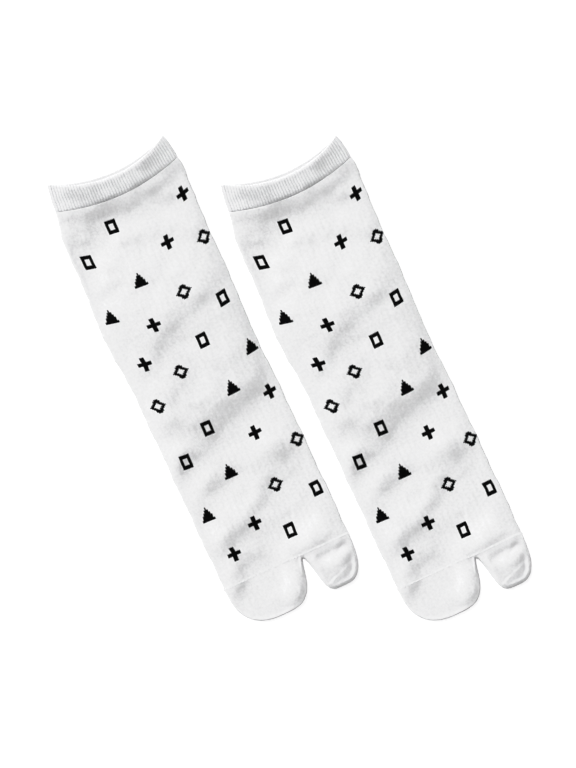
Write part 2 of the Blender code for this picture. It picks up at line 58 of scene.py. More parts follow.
# ---- The view -----------------------------------------------------------------------
IMAGE_HEIGHT = 768  # pixels of the photo
MM_PER_PIXEL = 0.652
SOCK_TILT = 24.7  # degrees that the socks lean to the left in the picture
VIEW_CENTRE = (-1.5, -0.5)  # in the part's frame
CAMERA_HEIGHT = 1500.0
KEY_FROM = (-0.61, 0.61, 0.5)  # right, up and towards the camera, as the picture shows it
KEY_STRENGTH, KEY_SPREAD = 6.9, 60.0
FILL_STRENGTH = 0.43
SUN_DISTANCE = 2.0  # metres; only its direction matters
FLOOR_REACH, FLOOR_DROP = 4.0, 0.2  # metres each way, and millimetres under the socks
FLOOR_ROUGHNESS, FLOOR_SPECULAR = 0.9, 0.1
FLOOR_GLOW = 0.75  # a light table: the ground stays white beside the socks
WHITE = (1.0, 1.0, 1.0, 1.0)
TONE_CURVE = (  # light in the scene, light in the picture
    (0.0, 0.0),
    (0.25, 0.16),
    (0.5, 0.36),
    (0.75, 0.585),
    (1.0, 0.82),
    (1.2, 0.9),
    (1.35, 0.97),
    (1.45, 1.0),
)

# ---- The cloth, as in the part's source ---------------------------------------------
TUBE_WALL, TUBE_FOLD_RADIUS = 1.1, 1.5
TOE_WALL, TOE_FOLD_RADIUS = 1.25, 1.6
CUFF_WALL, CUFF_FOLD_RADIUS = 1.7, 2.1
LEAST_HOLLOW = 0.4  # kept between the instep and the sole
LOWEST_LOFT = 2 * TUBE_WALL + LEAST_HOLLOW - 2 * TUBE_FOLD_RADIUS
LOWEST_TOE = 2 * TOE_WALL + LEAST_HOLLOW - 2 * TOE_FOLD_RADIUS
CROWN, TOE_CROWN, BIG_TOE_CROWN, CUFF_CROWN = 1.2, 1.6, 2.3, 0.7
CROWN_CHANGE = 6.0  # distance from the cleft at which the big toe has its own crown
CLEFT_DIP_REACH = 6.0  # round the cleft, where the instep lies low
TOE_SEAM_Y = 32.0
CLEFT_X, CLEFT_Y = 11.0, 29.0  # the bottom of the split between the toes
CUFF_SEAM_DIP = (3.0, 293.3, 8.0, 45.0)  # lowest point x and y, rise, at this distance
CUFF_RIM_DIP = (5.0, 309.9, 10.2, 43.5)
DRAWN_IN, DRAWN_IN_REACH, DRAWN_IN_RAMP = 1.0, 75.0, 62.0  # of the leg, below its cuff
CUFF_END_THICKENING, CUFF_END_RAMP = 0.45, 12.0  # of the leg's folded edges, at its cuff
CUFF_STEP = 0.25  # how much the cuff stands above the leg's end at its seam
CUFF_SHOULDER = 0.14  # share of the cuff's length over which it comes to its own height
FRONT_RIM_SETBACK = 2.6  # the lifted front rim stands this far short of the back one
MOUTH_LIFT = 0.5  # of the front rim's middle
RIM_DROOP, RIM_DROOP_FROM = 0.7, 0.8  # the front rim turns down again, above this share
SOLE_CORNER = (-47.6826, 32.15)  # the leg and foot's lowest corner in its sock's own frame

Section = namedtuple("Section", "y left right")
TUBE_SECTIONS = (
    Section(30, -44.3, 45.0),
    Section(70, -44.5, 45.0),
    Section(130, -44.6, 44.7),
    Section(185, -45.2, 43.8),
    Section(200, -46.9, 44.8),
    Section(215, -47.7, 45.0),
    Section(235, -46.4, 45.4),
    Section(265, -45.4, 45.6),
    Section(284, -44.9, 46.8),
    Section(294, -43.0, 47.3),
    Section(301, -41.4, 46.4),
    Section(310, -40.7, 45.0),
    Section(320, -38.6, 43.4),
)
EDGE_WAVES = ((0.22, 41.0, 0.7), (0.16, 17.3, 2.1), (0.08, 7.9, 4.4))  # height, length, phase
FOLD_SQUARENESS = 2.6  # of the folded side edges; 2 is a half round fold

# Toe pockets: where each is widest, at the cleft, and how it closes to its tip.  A larger
# roundness makes a squarer corner; lean draws a side in towards the tip.
Pocket = namedtuple(
    "Pocket", "tip_x tip_y left right left_roundness right_roundness left_lean right_lean"
)
FOUR_TOE_POCKET = Pocket(-16.0, 1.0, -44.3, CLEFT_X, 2.45, 3.4, 0.6, 4.5)
BIG_TOE_POCKET = Pocket(29.0, 1.8, CLEFT_X, 45.0, 5.0, 2.7, 5.8, 0.5)
LEAN_POWER = 0.6

# Two lengths over which a toe pocket thins towards its outline, and the share of its crown
# that it loses over the shorter one.
Thinning = namedtuple("Thinning", "slope edge edge_share")
FOUR_TOE_THINNING = Thinning(14.0, 6.0, 0.4)
BIG_TOE_THINNING = Thinning(12.0, 2.8, 0.45)

# The heel pocket, folded flat under the ankle, and the room that the sole leaves it.
HEEL_ROOT_Y, HEEL_FREE_Y = 190.0, 224.0
HEEL_HALF_WIDTH, HEEL_TAPER, HEEL_ROUNDNESS = 27.0, 8.0, 2.2
HEEL_THICKNESS, HEEL_SWELL = 2.0, 1.7  # the swell is the rise of the instep over it
HEEL_RAMP, HEEL_ROOM, HEEL_SIDE_RAMP, HEEL_END_ROOM = 9.0, 3.5, 12.0, 4.5
HEEL_SWELL_FOOT, HEEL_SWELL_LEG = (125.0, 72.0), (292.0, 66.0)  # end and length of each ramp
SEAM_GAP = 0.3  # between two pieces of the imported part

# ---- Creases of the instep: the cloth drops across each line, towards the toes -------
Crease = namedtuple("Crease", "x1 y1 x2 y2 width height")
CREASE_REACH = 6.0  # in its own widths, over which a crease fades out on both sides
UPHILL = (-0.35, 0.94)  # the side of a crease that stands higher
CREASES = (
    Crease(42, 214, 26, 210, 6.5, 0.3),  # across the front of the ankle
    Crease(18, 208, 4, 204, 10.0, 0.55),
    Crease(-6, 199, -13, 196, 9.0, 0.85),
    Crease(-17, 188, -28, 184, 8.0, 0.45),
    Crease(46, 166, 40, 156, 6.5, 0.5),  # the deep one over the instep
    Crease(33, 142, 10, 139, 12.5, 1.4),
    Crease(-8, 133, -16, 129, 13.0, 1.15),
    Crease(8, 131, -8, 126, 7.0, 0.5),
    Crease(-10, 121, -19, 118, 7.0, 0.5),
    Crease(-32, 118, -39, 114, 9.0, 1.7),
    Crease(-22, 156, -36, 151, 7.0, 0.35),
    Crease(-12, 148, -34, 143, 8.0, 0.25),
    Crease(-18, 134, -40, 129, 8.0, 0.15),
    Crease(-12, 107, -40, 104, 9.0, 0.28),
    Crease(-14, 84, -40, 80, 9.0, 0.12),
    Crease(-27, 142, -38, 136, 7.0, 0.25),
    Crease(-8, 99, -19, 97, 9.0, 0.95),
    Crease(-27, 93, -38, 90, 9.0, 0.6),
    Crease(-28, 86, -40, 83, 6.0, 0.25),
    Crease(36, 97, 24, 97, 10.0, 1.0),
    Crease(26, 88, 16, 85, 8.0, 0.6),
    Crease(9, 79, 3, 75, 8.0, 0.55),
    Crease(-2, 70, -10, 67, 6.5, 0.35),
    Crease(-18, 62, -29, 59, 11.0, 1.5),
    Crease(20, 62, 2, 57, 9.0, 0.3),
    Crease(-15, 47, -28, 46, 8.0, 0.5),
    Crease(-14, 40, -26, 39, 7.0, 0.9),
    Crease(-31, 29, -38, 28, 5.0, 0.9),
    Crease(-16, 33, -32, 33, 9.0, 0.6),
    Crease(-27, 22, -36, 21, 5.5, 1.1),
    Crease(-9, 8, 2, 36, 12.0, -0.6),
    Crease(2, 40, 22, 50, 10.0, -0.35),
    Crease(32, 35, 22, 34, 5.0, 0.65),
    Crease(37, 29, 22, 27, 4.5, 0.75),
    Crease(42, 28, 36, 27, 2.8, 0.55),
    Crease(38, 17, 22, 16, 8.0, 0.5),
    Crease(41, 21, 34, 10, 5.0, 0.5),
    Crease(0, 5, -26, 6, 5.0, 0.2),
    Crease(-31, 291, -20, 288, 11.0, 0.95),  # the leg slopes down from the lifted cuff
    Crease(-15, 290, -6, 289, 10.0, 0.65),
    Crease(9, 291, 15, 289, 7.0, 0.5),
    Crease(23, 288, 30, 289, 7.0, 0.5),
    Crease(-24, 279, -15, 277, 6.0, 0.4),
    Crease(2, 281, 9, 284, 6.0, 0.5),
    Crease(-42, 276, -34, 273, 8.0, 1.9),
    Crease(22, 281, 30, 279, 8.0, 0.9),
    Crease(-30, 308, -20, 303, 7.0, 0.9),  # across the cuff
    Crease(42, 309, 24, 304, 7.0, 0.8),
    Crease(12, 295, 40, 298, 4.0, 0.25),
    Crease(-44, 286, -30, 283, 6.0, 0.3),
    Crease(12, 292, 15, 281, 3.5, 0.35),
    Crease(-13, 291, -12, 281, 3.5, 0.3),
    Crease(32, 291, 34, 281, 3.0, 0.3),
    Crease(-32, 255, -20, 251, 7.0, 0.4),
    Crease(23, 256, 36, 251, 7.0, 0.4),
    Crease(-10, 266, 10, 262, 8.0, 0.45),
    Crease(-26, 242, -8, 238, 7.0, 0.3),
    Crease(-26, 212, -36, 202, 7.0, 0.2),
    Crease(40, 236, 28, 232, 7.0, 0.2),
    Crease(-10, 166, -22, 161, 7.0, 0.2),
)
SOLE_CREASES = (  # troughs of the sole, where its cloth stands clear of the surface
    Crease(-36, 246, 30, 256, 5.0, 0.5),
    Crease(38, 236, 14, 240, 4.0, 0.4),
    Crease(-38, 176, 8, 166, 6.0, 0.5),
    Crease(36, 150, -12, 138, 5.0, 0.45),
    Crease(-36, 112, 4, 98, 5.0, 0.4),
    Crease(34, 84, -8, 70, 4.5, 0.4),
    Crease(-34, 60, -6, 52, 4.0, 0.3),
    Crease(10, 282, 36, 277, 4.0, 0.35),
)

# ---- Soft unevenness of the cloth ---------------------------------------------------
UNEVENNESS = ((23.0, 0.35), (12.0, 0.28), (6.5, 0.15), (3.6, 0.05))  # cell size, height
UNEVEN_SEED = 11
UNEVEN_TURN = (0.8, 0.6)  # cosine and sine of the turn from each layer to the next
LATTICE_SIZE = 128


# ---- Small mathematics --------------------------------------------------------------
def smooth_step(share):
    """0 to 1 with level ends."""
    share = np.clip(share, 0.0, 1.0)
    return share * share * (3 - 2 * share)


def smooth_between(rows, y, column):
    """The named column of a table at each y, on a smooth curve through its rows."""
    stations = np.array([row.y for row in rows], float)
    values = np.array([getattr(row, column) for row in rows], float)
    last = len(rows) - 1
    upper = np.clip(np.searchsorted(stations, y), 1, last)
    lower = upper - 1
    before, after = np.maximum(lower - 1, 0), np.minimum(upper + 1, last)
    span = stations[upper] - stations[lower]
    t = np.clip((y - stations[lower]) / span, 0.0, 1.0)
    a, b = values[lower], values[upper]
    slope_a = (b - values[before]) / (stations[upper] - stations[before]) * span
    slope_b = (values[after] - a) / (stations[after] - stations[lower]) * span
    return (
        a * (1 + 2 * t) * (1 - t) ** 2
        + slope_a * t * (1 - t) ** 2
        + b * t * t * (3 - 2 * t)
        + slope_b * t * t * (t - 1)
    )


def tube_edges(y):
    """Left and right side edges, which are a little uneven."""
    wave_left = sum(h * np.sin(2 * np.pi * y / length + p) for h, length, p in EDGE_WAVES)
    wave_right = sum(h * np.sin(2 * np.pi * y / length - 2 * p) for h, length, p in EDGE_WAVES)
    left = smooth_between(TUBE_SECTIONS, y, "left") + wave_left
    right = smooth_between(TUBE_SECTIONS, y, "right") + wave_right
    return left, right


def dipped(curve, x):
    """Height of a seam or rim that sags in its middle."""
    lowest_x, lowest_y, rise, reach = curve
    return lowest_y + rise * ((x - lowest_x) / reach) ** 2


def crease_height(x, y, creases=CREASES):
    """Sum of the creases at each point."""
    total = np.zeros(np.broadcast(x, y).shape)
    for crease in creases:
        run_x, run_y = crease.x2 - crease.x1, crease.y2 - crease.y1
        length = math.hypot(run_x, run_y)
        run_x, run_y = run_x / length, run_y / length
        side = math.copysign(1.0, run_x * UPHILL[1] - run_y * UPHILL[0])
        from_x, from_y = x - crease.x1, y - crease.y1
        along = from_x * run_x + from_y * run_y
        beyond = np.maximum(np.maximum(-along, along - length), 0.0) / crease.width
        t = side * (from_y * run_x - from_x * run_y) / crease.width
        fade = np.exp(-((t / CREASE_REACH) ** 2) - beyond**2)
        total += crease.height * 2 * t / (1 + t * t) * fade
    return total


def lattice_noise(x, y, cell, seed):
    """Smooth noise from -1 to 1 between random values on a square lattice."""
    random = np.random.default_rng(seed).uniform(-1, 1, (LATTICE_SIZE, LATTICE_SIZE))
    column, row = np.floor(x / cell).astype(int), np.floor(y / cell).astype(int)
    right, up = smooth_step(x / cell - column), smooth_step(y / cell - row)
    column, row = column % (LATTICE_SIZE - 1), row % (LATTICE_SIZE - 1)
    low = random[row, column] * (1 - right) + random[row, column + 1] * right
    high = random[row + 1, column] * (1 - right) + random[row + 1, column + 1] * right
    return low * (1 - up) + high * up


def uneven_height(x, y):
    """Sum of the layers of noise at each point, each turned from the one before."""
    total = 0.0
    cosine, sine = UNEVEN_TURN
    for number, (cell, height) in enumerate(UNEVENNESS):
        x, y = cosine * x + sine * y, cosine * y - sine * x
        total = total + height * lattice_noise(x, y, cell, UNEVEN_SEED + number)
    return total


def sole_lift(x, y):
    """How far the sole is lifted off the surface by the heel pocket under it."""
    up = smooth_step((y - HEEL_ROOT_Y + HEEL_RAMP / 2) / HEEL_RAMP)
    down = smooth_step((HEEL_FREE_Y + HEEL_END_ROOM + HEEL_RAMP - y) / HEEL_RAMP)
    aside = (HEEL_HALF_WIDTH + HEEL_ROOM + HEEL_SIDE_RAMP - np.abs(x)) / HEEL_SIDE_RAMP
    return (HEEL_THICKNESS + SEAM_GAP) * up * down * smooth_step(aside)


def sole_creases(x, y, across):
    """How far the sole stands clear along its own creases, which fade at its edges."""
    return (1 - across**4) * np.maximum(crease_height(x, y, SOLE_CREASES), 0.0)


def instep_loft(x, y, across):
    """How far the instep stands above the folded side edges; across runs from -1 to 1."""
    foot_end, foot_ramp = HEEL_SWELL_FOOT
    leg_end, leg_ramp = HEEL_SWELL_LEG
    swell = smooth_step((y - foot_end) / foot_ramp) * smooth_step((leg_end - y) / leg_ramp)
    at_cleft = np.exp(-((np.hypot(x - CLEFT_X, y - CLEFT_Y) / CLEFT_DIP_REACH) ** 2))
    folds = crease_height(x, y) + uneven_height(x, y)
    below_cuff = dipped(CUFF_SEAM_DIP, x) - y
    drawn_in = DRAWN_IN * smooth_step((DRAWN_IN_REACH - below_cuff) / DRAWN_IN_RAMP)
    form = CROWN * (1 - at_cleft) + HEEL_SWELL * swell - drawn_in
    return (1 - across**4) * form + (1 - across**8) * folds


# ---- Meshes from grids of points ----------------------------------------------------
Piece = namedtuple("Piece", "points faces wales courses")  # the last two count per corner
ROLL_STEPS = 5  # points along each quarter turn of a rounded end
WELD = 0.004  # points of the toes and of their linking that lie closer are made one
SETTLING_PASSES = 4  # for a point's x and y, which depend a little on each other


def grid_piece(points, wale, course, wrap_rows=False, wrap_columns=False, flip=False):
    """Quads over a grid of points; wale and course give the stitch count at its corners."""
    rows, columns = points.shape[:2]
    row = np.arange(rows if wrap_rows else rows - 1)[:, None]
    column = np.arange(columns if wrap_columns else columns - 1)[None, :]
    next_row, next_column = (row + 1) % rows, (column + 1) % columns
    corners = [(row, column), (row, next_column), (next_row, next_column), (next_row, column)]
    counts = [(row, column), (row, column + 1), (row + 1, column + 1), (row + 1, column)]
    if flip:
        corners, counts = corners[::-1], counts[::-1]
    faces = np.stack([r * columns + c for r, c in corners], -1).reshape(-1, 4)
    wales = np.stack([wale[r, c] for r, c in counts], -1).reshape(-1, 4)
    courses = np.stack([course[r, c] for r, c in counts], -1).reshape(-1, 4)
    return Piece(points.reshape(-1, 3), faces, wales, courses)


def joined(pieces):
    """Several pieces as one, side by side and not welded."""
    starts = np.cumsum([0] + [len(piece.points) for piece in pieces[:-1]])
    return Piece(
        np.concatenate([piece.points for piece in pieces]),
        np.concatenate([piece.faces + start for piece, start in zip(pieces, starts)]),
        np.concatenate([piece.wales for piece in pieces]),
        np.concatenate([piece.courses for piece in pieces]),
    )


def mesh_of(name, piece, weld=0.0):
    """A smooth-shaded mesh in metres; points closer than weld are made one."""
    mesh = bpy.data.meshes.new(name)
    mesh.from_pydata((piece.points * MM).tolist(), [], piece.faces.tolist())
    layer = mesh.uv_layers.new(name="stitches")
    counts = np.stack([piece.wales.ravel(), piece.courses.ravel()], -1)
    layer.data.foreach_set("uv", counts.astype(np.float32).ravel())
    if weld:
        bm = bmesh.new()
        bm.from_mesh(mesh)
        bmesh.ops.remove_doubles(bm, verts=bm.verts, dist=weld * MM)
        bmesh.ops.dissolve_degenerate(bm, edges=bm.edges, dist=weld * MM)
        bm.to_mesh(mesh)
        bm.free()
    mesh.shade_smooth()
    return mesh


def wall_profile(length, wall, rolls, rows, inner_rows):
    """Distance along and depth into the cloth, round a wall with two rounded ends."""
    first, last = rolls
    arc = np.radians(np.linspace(0, 90, ROLL_STEPS))
    rise, turn = np.sin(arc), 1 - np.cos(arc)
    start, end = np.full(ROLL_STEPS, first), length - last
    distance = [
        first * turn[:-1],
        np.linspace(first, end, rows),
        end + last * rise[1:],
        end + last * (1 - turn[1:-1]),
        np.linspace(end, first, inner_rows),
        start[1:-1] - first * rise[1:-1],
    ]
    depth = [
        first * (1 - rise[:-1]),
        np.zeros(rows),
        last * turn[1:],
        wall - last * (1 - rise[1:-1]),
        np.full(inner_rows, wall),
        wall - first * turn[1:-1],
    ]
    return np.concatenate(distance), np.concatenate(depth)


def columns_round(across_top, round_edge, across_under):
    """Share across and angle of the points round a flat tube, clockwise from top left."""
    top = [(2 * i / across_top - 1, 90.0) for i in range(across_top + 1)]
    right = [(1.0, 90.0 - 180.0 * i / round_edge) for i in range(1, round_edge)]
    under = [(1 - 2 * i / across_under, -90.0) for i in range(across_under + 1)]
    left = [(-1.0, -90.0 - 180.0 * i / round_edge) for i in range(1, round_edge)]
    share, angle = np.array(top + right + under + left).T
    return share[None, :], angle[None, :]


def count_round(section, total):
    """Stitch number at each point of a closed section, and once more where it closes."""
    closed = np.concatenate([section, section[:1]])
    steps = np.hypot(*(closed[1:] - closed[:-1])[:, [0, 2]].T)
    return total * np.concatenate([[0.0], np.cumsum(steps)]) / steps.sum()


# ---- Leg and foot -------------------------------------------------------------------
TUBE_ROWS, TUBE_INNER_ROWS = 270, 60
TUBE_COLUMNS = (84, 8, 60)
TUBE_END_ROLLS = (0.3, 0.3)
WALES_ROUND = 184
COURSE_PITCH = 0.86
SEAM_CLEARANCE = 0.02  # what the dressed pieces leave open at a seam


def fold_section(angle):
    """Across and up, from -1 to 1, at an angle round a folded edge."""
    cosine, sine = np.cos(np.radians(angle)), np.sin(np.radians(angle))
    squarer = 2 / FOLD_SQUARENESS
    return np.sign(cosine) * np.abs(cosine) ** squarer, np.sign(sine) * np.abs(sine) ** squarer


def no_less_than(height, least, softness=0.35):
    """The greater of two heights, with a soft change from one to the other."""
    over = (height - least) / softness
    return least + softness * np.logaddexp(0.0, over)


def tube_points(share_along, depth, around):
    """Points of the leg and foot: a row for each share along it, a column round it."""
    share, angle = around
    low = TOE_SEAM_Y + SEAM_CLEARANCE
    near_cuff = (share_along - 1) * (dipped(CUFF_SEAM_DIP, 0.0) - low) / CUFF_END_RAMP + 1
    radius = TUBE_FOLD_RADIUS + CUFF_END_THICKENING * smooth_step(near_cuff)
    half = radius - depth
    cosine, sine = fold_section(angle)
    y = low + share_along * (dipped(CUFF_SEAM_DIP, 0.0) - low) + 0 * share
    for _ in range(SETTLING_PASSES):
        left, right = tube_edges(y)
        x = (left + right) / 2 + share * ((right - left) / 2 - radius) + half * cosine
        y = low + share_along * (dipped(CUFF_SEAM_DIP, x) - SEAM_CLEARANCE - low)
    z = radius + half * sine
    lifted = sole_lift(x, y) + sole_creases(x, y, share)
    top = 2 * radius + instep_loft(x, y, share)
    least = lifted + 2 * TUBE_WALL + LEAST_HOLLOW
    z = np.where(angle == 90.0, no_less_than(top, least) - depth, z)
    z = np.where(angle == -90.0, depth + lifted, z)
    return np.stack([x, y, z], -1)


def leg_and_foot_piece():
    """The plain tube from the toe seam to the cuff, with its wall's inner face."""
    length = CUFF_SEAM_DIP[1] - TOE_SEAM_Y
    distance, depth = wall_profile(length, TUBE_WALL, TUBE_END_ROLLS, TUBE_ROWS, TUBE_INNER_ROWS)
    points = tube_points(distance[:, None] / length, depth[:, None], columns_round(*TUBE_COLUMNS))
    middle = points[TUBE_ROWS // 2]
    wale = np.broadcast_to(count_round(middle, WALES_ROUND), (len(distance) + 1, len(middle) + 1))
    course = np.append(distance, distance[0])[:, None] / COURSE_PITCH + 0 * wale
    return grid_piece(points, wale, course, wrap_rows=True, wrap_columns=True)


# ---- Cuff ---------------------------------------------------------------------------
RIBS_ACROSS, RIBS_ROUND_EDGE = 45, 3.5
COLUMNS_A_RIB = 8
CUFF_ROWS, CUFF_INNER_ROWS = 22, 14
CUFF_RIB_DEPTH = 0.27
RIB_SHARPNESS = 2.2  # a larger one makes rounder ribs and narrower valleys
INNER_RIB_SHARE = 0.5  # the ribs' depth on the cuff's inner face
LEAST_CUFF, LEAST_CUFF_SOFTNESS = 2 * CUFF_WALL + LEAST_HOLLOW, 0.2
CUFF_END_ROLLS = (0.6, CUFF_WALL / 2)
CUFF_COURSE_PITCH = 0.95


def cuff_top(x, y, share, share_up):
    """Height of the cuff's upper face, which rises from the leg's end to its own crown."""
    flat = 1 - share**2
    at_leg = 2 * (TUBE_FOLD_RADIUS + CUFF_END_THICKENING) + CUFF_STEP
    at_leg = at_leg + (1 - share**4) * (CROWN - DRAWN_IN)
    own = 2 * CUFF_FOLD_RADIUS + flat * CUFF_CROWN
    droop = RIM_DROOP * smooth_step((share_up - RIM_DROOP_FROM) / (1 - RIM_DROOP_FROM))
    mouth = flat**2 * (MOUTH_LIFT * share_up - droop)
    folds = (1 - share**8) * (crease_height(x, y) + uneven_height(x, y))
    top = at_leg + (own - at_leg) * smooth_step(share_up / CUFF_SHOULDER) + mouth + folds
    return no_less_than(top, LEAST_CUFF, LEAST_CUFF_SOFTNESS)


def cuff_points(share_up, depth, around):
    """Points of the ribbed cuff: share_up runs from its seam to its rim."""
    share, angle = around
    ribs = np.arange(share.size)[None, :] / COLUMNS_A_RIB
    valley = CUFF_RIB_DEPTH * np.abs(np.sin(np.pi * ribs)) ** RIB_SHARPNESS
    valley = valley * (1 - (1 - INNER_RIB_SHARE) * depth / CUFF_WALL)
    half = CUFF_FOLD_RADIUS - depth - valley
    cosine, sine = np.cos(np.radians(angle)), np.sin(np.radians(angle))
    setback = np.where(angle == 90.0, FRONT_RIM_SETBACK * share_up**2 * (1 - share**4), 0.0)
    y = np.full(np.broadcast(share_up, share).shape, TUBE_SECTIONS[-2].y, float)
    for _ in range(SETTLING_PASSES):
        left, right = tube_edges(y)
        x = (left + right) / 2 + share * ((right - left) / 2 - CUFF_FOLD_RADIUS) + half * cosine
        low = dipped(CUFF_SEAM_DIP, x) + SEAM_CLEARANCE
        y = low + share_up * (dipped(CUFF_RIM_DIP, x) - setback - low)
    z = CUFF_FOLD_RADIUS + half * sine
    z = np.where(angle == 90.0, cuff_top(x, y, share, share_up) - CUFF_FOLD_RADIUS + half, z)
    return np.stack([x, y, z], -1)


def cuff_piece():
    """The ribbed welt, rolled over at its rim."""
    length = CUFF_RIM_DIP[1] - CUFF_SEAM_DIP[1]
    distance, depth = wall_profile(length, CUFF_WALL, CUFF_END_ROLLS, CUFF_ROWS, CUFF_INNER_ROWS)
    across = RIBS_ACROSS * COLUMNS_A_RIB
    around = columns_round(across, int(RIBS_ROUND_EDGE * COLUMNS_A_RIB), across)
    points = cuff_points(distance[:, None] / length, depth[:, None], around)
    ribs = np.arange(around[0].size + 1)[None, :] / COLUMNS_A_RIB
    wale = np.broadcast_to(ribs, (len(distance) + 1, ribs.size))
    course = np.append(distance, distance[0])[:, None] / CUFF_COURSE_PITCH + 0 * wale
    return grid_piece(points, wale, course, wrap_rows=True, wrap_columns=True)


# ---- Pillows: flat pockets whose two faces meet all round at a rounded edge ----------
def distance_to(outline, x, y):
    """Distance in plan from each point to an outline of straight runs."""
    best = np.full(x.shape, np.inf)
    for (x1, y1), (x2, y2) in zip(outline[:-1], outline[1:]):
        run = (x2 - x1) ** 2 + (y2 - y1) ** 2
        t = np.clip(((x - x1) * (x2 - x1) + (y - y1) * (y2 - y1)) / max(run, 1e-12), 0, 1)
        away = (x - x1 - t * (x2 - x1)) ** 2 + (y - y1 - t * (y2 - y1)) ** 2
        best = np.minimum(best, away)
    return np.sqrt(best)


def rounded_edge(away, radius):
    """Half thickness at a distance in from a rounded edge."""
    inward = np.maximum(radius - away, 0.0) / radius
    return radius * np.maximum(1 - inward**FOLD_SQUARENESS, 0.0) ** (1 / FOLD_SQUARENESS)


def edge_spaced(count):
    """-1 to 1, with the steps closer together at both ends."""
    return np.sin(np.linspace(-np.pi / 2, np.pi / 2, count + 1))


# ---- Toes ---------------------------------------------------------------------------
TOE_ROWS, ROOT_ROWS = 48, 6
FOUR_TOE_COLUMNS, BIG_TOE_COLUMNS = 76, 52
OUTLINE_STEPS = 3 * TOE_ROWS
TOE_WALE, TOE_COURSE = 1.07, 0.9
TOE_BLEND = 16.0  # length over which the instep's form runs on into the toes
TOE_EDGE_FADE = 5.0  # distance from the outline over which the creases fade out
ROOT_EDGE_FADE = 1.5  # the same for the instep's form, beside the toe seam
CLEFT_DIP_SHARE = 0.5  # share of its crown that a toe pocket loses at the cleft
LOWEST_TOE_SOFTNESS = 0.15
OUTLINE_TOP_Y = 60.0  # the toe's outline runs on this far above the seam
LEAST_EDGE_HALF = 0.12  # half thickness under which the two faces meet
LEAST_PILLOW = 0.02  # how far apart they stay elsewhere


def pocket_edges(pocket, y):
    """Left and right edges of a toe pocket at each y."""
    t = np.clip((CLEFT_Y - y) / (CLEFT_Y - pocket.tip_y), 0.0, 1.0)
    edges = []
    for side, reach, roundness, lean in (
        (-1, pocket.tip_x - pocket.left, pocket.left_roundness, pocket.left_lean),
        (1, pocket.right - pocket.tip_x, pocket.right_roundness, pocket.right_lean),
    ):
        width = reach - lean * t**LEAN_POWER
        edges.append(pocket.tip_x + side * width * (1 - t**roundness) ** (1 / roundness))
    return edges


def pocket_stations(pocket, count):
    """y from the cleft to the tip, closer together towards the tip."""
    return CLEFT_Y - (CLEFT_Y - pocket.tip_y) * np.sin(np.linspace(0, np.pi / 2, count + 1))


def toe_outline():
    """The toe's outline in plan, from the left side edge round both tips to the right one."""
    above = np.array([OUTLINE_TOP_Y, TOE_SEAM_Y])
    left, right = tube_edges(above)
    four_y = pocket_stations(FOUR_TOE_POCKET, OUTLINE_STEPS)
    big_y = pocket_stations(BIG_TOE_POCKET, OUTLINE_STEPS)
    four, big = pocket_edges(FOUR_TOE_POCKET, four_y), pocket_edges(BIG_TOE_POCKET, big_y)
    runs = [
        np.stack([left, above], -1),
        np.stack([four[0], four_y], -1),
        np.stack([four[1], four_y], -1)[::-1],
        np.stack([big[0], big_y], -1),
        np.stack([big[1], big_y], -1)[::-1],
        np.stack([right, above], -1)[::-1],
    ]
    return np.concatenate(runs)


def pocket_rise(away, thinning):
    """Share of a toe pocket's crown that it has at a distance in from its outline."""
    slope, edge = smooth_step(away / thinning.slope), smooth_step(away / thinning.edge)
    return (1 - thinning.edge_share) * slope + thinning.edge_share * edge


def pocket_loft(x, y, away):
    """How far the two toe pockets stand above their rounded edge."""
    four_crown = TOE_CROWN * pocket_rise(away, FOUR_TOE_THINNING)
    big_crown = BIG_TOE_CROWN * pocket_rise(away, BIG_TOE_THINNING)
    fuller = smooth_step((x - CLEFT_X) / CROWN_CHANGE)
    crown = four_crown + (big_crown - four_crown) * fuller
    at_cleft = np.exp(-((np.hypot(x - CLEFT_X, y - CLEFT_Y) / CLEFT_DIP_REACH) ** 2))
    fade = smooth_step(away / TOE_EDGE_FADE)
    folds = crease_height(x, y) + uneven_height(x, y)
    loft = crown * (1 - CLEFT_DIP_SHARE * at_cleft) + fade * folds
    return no_less_than(loft, LOWEST_TOE, LOWEST_TOE_SOFTNESS)


def root_loft(x, y, away):
    """How far the short tube at the toe seam stands above its edge, as the instep does."""
    left, right = tube_edges(y)
    across = np.clip((2 * x - left - right) / (right - left - 2 * TUBE_FOLD_RADIUS), -1, 1)
    return smooth_step(away / ROOT_EDGE_FADE) * no_less_than(instep_loft(x, y, across), LOWEST_LOFT)


def toe_faces(x, y, outline):
    """The upper and lower faces of the toe over points in plan, which meet at its edge."""
    away = distance_to(outline, x, y)
    half = rounded_edge(away, TOE_FOLD_RADIUS)
    root = root_loft(x, y, away)
    into_pocket = smooth_step((TOE_SEAM_Y - y) / TOE_BLEND)
    upper = TOE_FOLD_RADIUS + half + root + (pocket_loft(x, y, away) - root) * into_pocket
    lower = TOE_FOLD_RADIUS - half
    on_edge = half < LEAST_EDGE_HALF
    upper = np.where(on_edge, TOE_FOLD_RADIUS, np.maximum(upper, lower + LEAST_PILLOW))
    lower = np.where(on_edge, TOE_FOLD_RADIUS, lower)
    return np.stack([x, y, upper], -1), np.stack([x, y, lower], -1)


